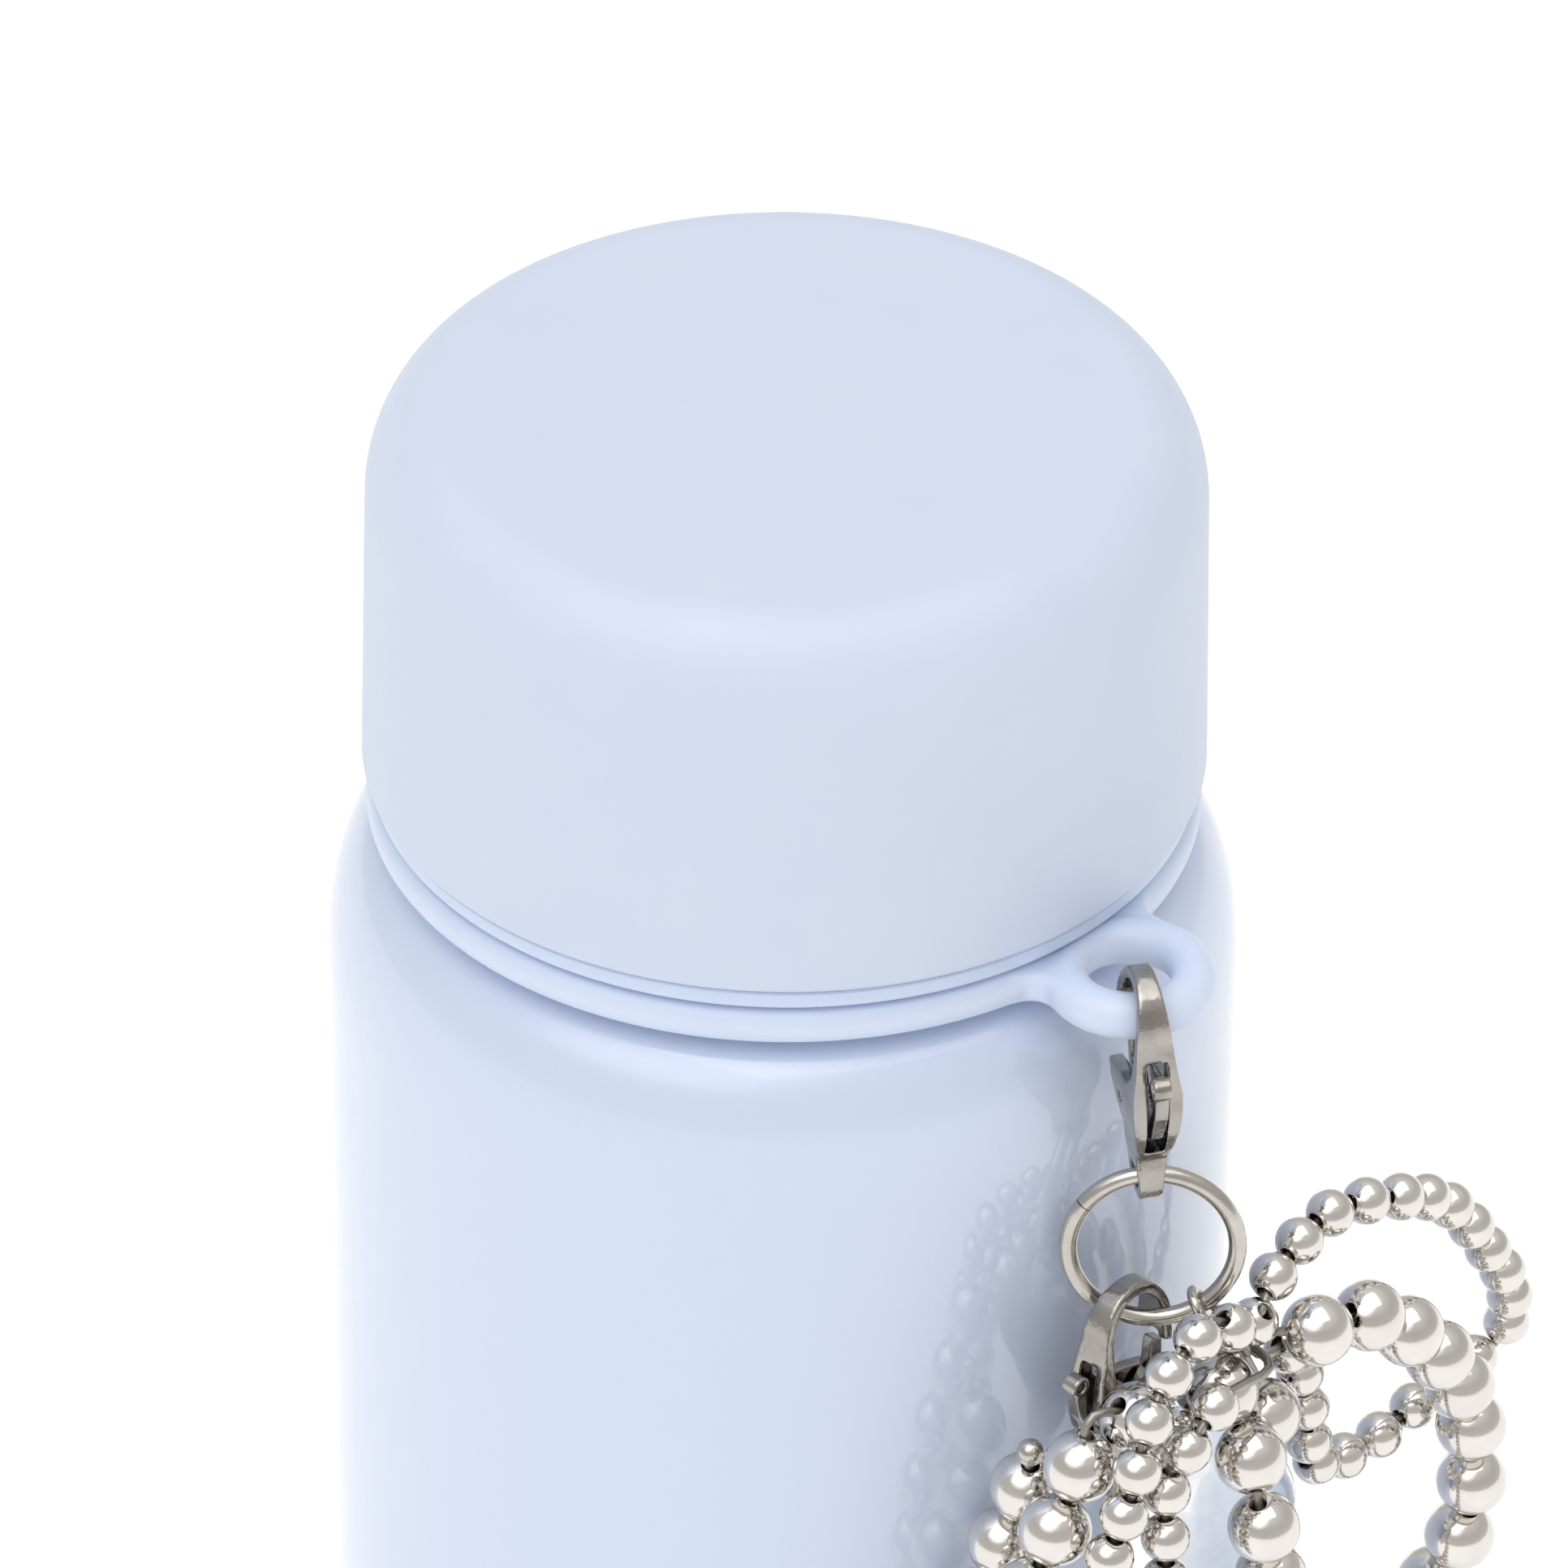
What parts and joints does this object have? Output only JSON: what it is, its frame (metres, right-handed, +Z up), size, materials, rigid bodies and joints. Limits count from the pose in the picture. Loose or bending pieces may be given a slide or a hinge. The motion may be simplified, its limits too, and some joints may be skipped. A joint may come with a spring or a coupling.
{
  "type": "vacuum bottle with charm",
  "caption": "Steel vacuum bottle with a screw cap, a strap collar and a charm of beaded strands hung on lobster clasps and a jump ring.",
  "frame": {"origin": "centre of the base where it stands on the floor", "axes": "+Z up along the bottle's axis; the camera's side is -Y"},
  "size_m": [0.1023, 0.0883, 0.1795],
  "materials": {
    "blue_coat": "gloss",
    "blue_plastic": "satin",
    "blue_silicone": "satin",
    "silicone": "satin",
    "foam": "matte",
    "inner_steel": "satin",
    "getter_metal": "matte",
    "solder_glass": "gloss",
    "steel": "gloss",
    "bead_metal": "gloss",
    "wire": "satin",
    "clear_glass": "gloss"
  },
  "bodies": {
    "bottle": {"outer_shell": "blue_coat", "inner_flask": "inner_steel", "base_plate": "inner_steel", "vacuum_seal": "solder_glass", "getter": "getter_metal", "base_cover": "blue_coat"},
    "gasket": {"cap_gasket": "silicone"},
    "cap": {"cap_shell": "blue_plastic", "cap_liner": "blue_plastic", "cap_foam": "foam"},
    "collar": {"strap_collar": "blue_silicone"},
    "clasp_a": {"clasp_a_body": "steel", "clasp_a_pin": "steel", "clasp_a_spring": "steel"},
    "lever_a": {"clasp_a_lever": "steel"},
    "ring": {"jump_ring": "steel"},
    "tassel": {"clasp_b_body": "steel", "clasp_b_pin": "steel", "clasp_b_spring": "steel", "gather_link": "steel", "gather_crimp": "steel", "tail_crimp": "steel", "loop_thread": "wire", "drape_thread": "wire", "side_thread": "wire", "front_thread": "wire", "loop_beads": "bead_metal", "drape_beads": "bead_metal", "side_beads": "bead_metal", "front_beads": "bead_metal", "pendant_drop": "clear_glass", "pendant_cap": "steel", "pendant_pin": "steel"},
    "lever_b": {"clasp_b_lever": "steel"}
  },
  "joints": [
    {"name": "cap_lift", "type": "slide", "parent": "bottle", "child": "gasket", "axis": [0, 0, 1], "range_m": [0, 0.024]},
    {"name": "cap_turn", "type": "hinge", "parent": "gasket", "child": "cap", "pos_m": [0, 0, 0.146], "axis": [0, 0, 1], "range_deg": [0, 1080]},
    {"name": "collar_spin", "type": "hinge", "parent": "bottle", "child": "collar", "pos_m": [0, 0, 0.142], "axis": [0, 0, 1], "continuous": true},
    {"name": "clasp_a_swing", "type": "hinge", "parent": "collar", "child": "clasp_a", "pos_m": [0.02929, -0.03143, 0.1418], "axis": [-0.9781, -0.2079, 0], "range_deg": [0, 30]},
    {"name": "lever_a_open", "type": "hinge", "parent": "clasp_a", "child": "lever_a", "pos_m": [0.02937, -0.03026, 0.1331], "axis": [0.9774, 0.2079, 0.0375], "range_deg": [0, 20], "stiffness_Nm_per_rad": 0.02, "springref_deg": -17.19},
    {"name": "ring_swing", "type": "hinge", "parent": "clasp_a", "child": "ring", "pos_m": [0.0306, -0.03143, 0.12571], "axis": [-1, 0, 0], "range_deg": [0, 20]},
    {"name": "tassel_swing", "type": "hinge", "parent": "ring", "child": "tassel", "pos_m": [0.03459, -0.03254, 0.11312], "axis": [-0.9936, -0.0099, -0.1128], "range_deg": [0, 9]},
    {"name": "lever_b_open", "type": "hinge", "parent": "tassel", "child": "lever_b", "pos_m": [0.02943, -0.03194, 0.10257], "axis": [0.7193, -0.6947, 0], "range_deg": [0, 20], "stiffness_Nm_per_rad": 0.02, "springref_deg": -17.19}
  ],
  "couplings": [
    {"joint": "cap_lift", "follows": "cap_turn", "m_per_rad": 0.0012732}
  ]
}
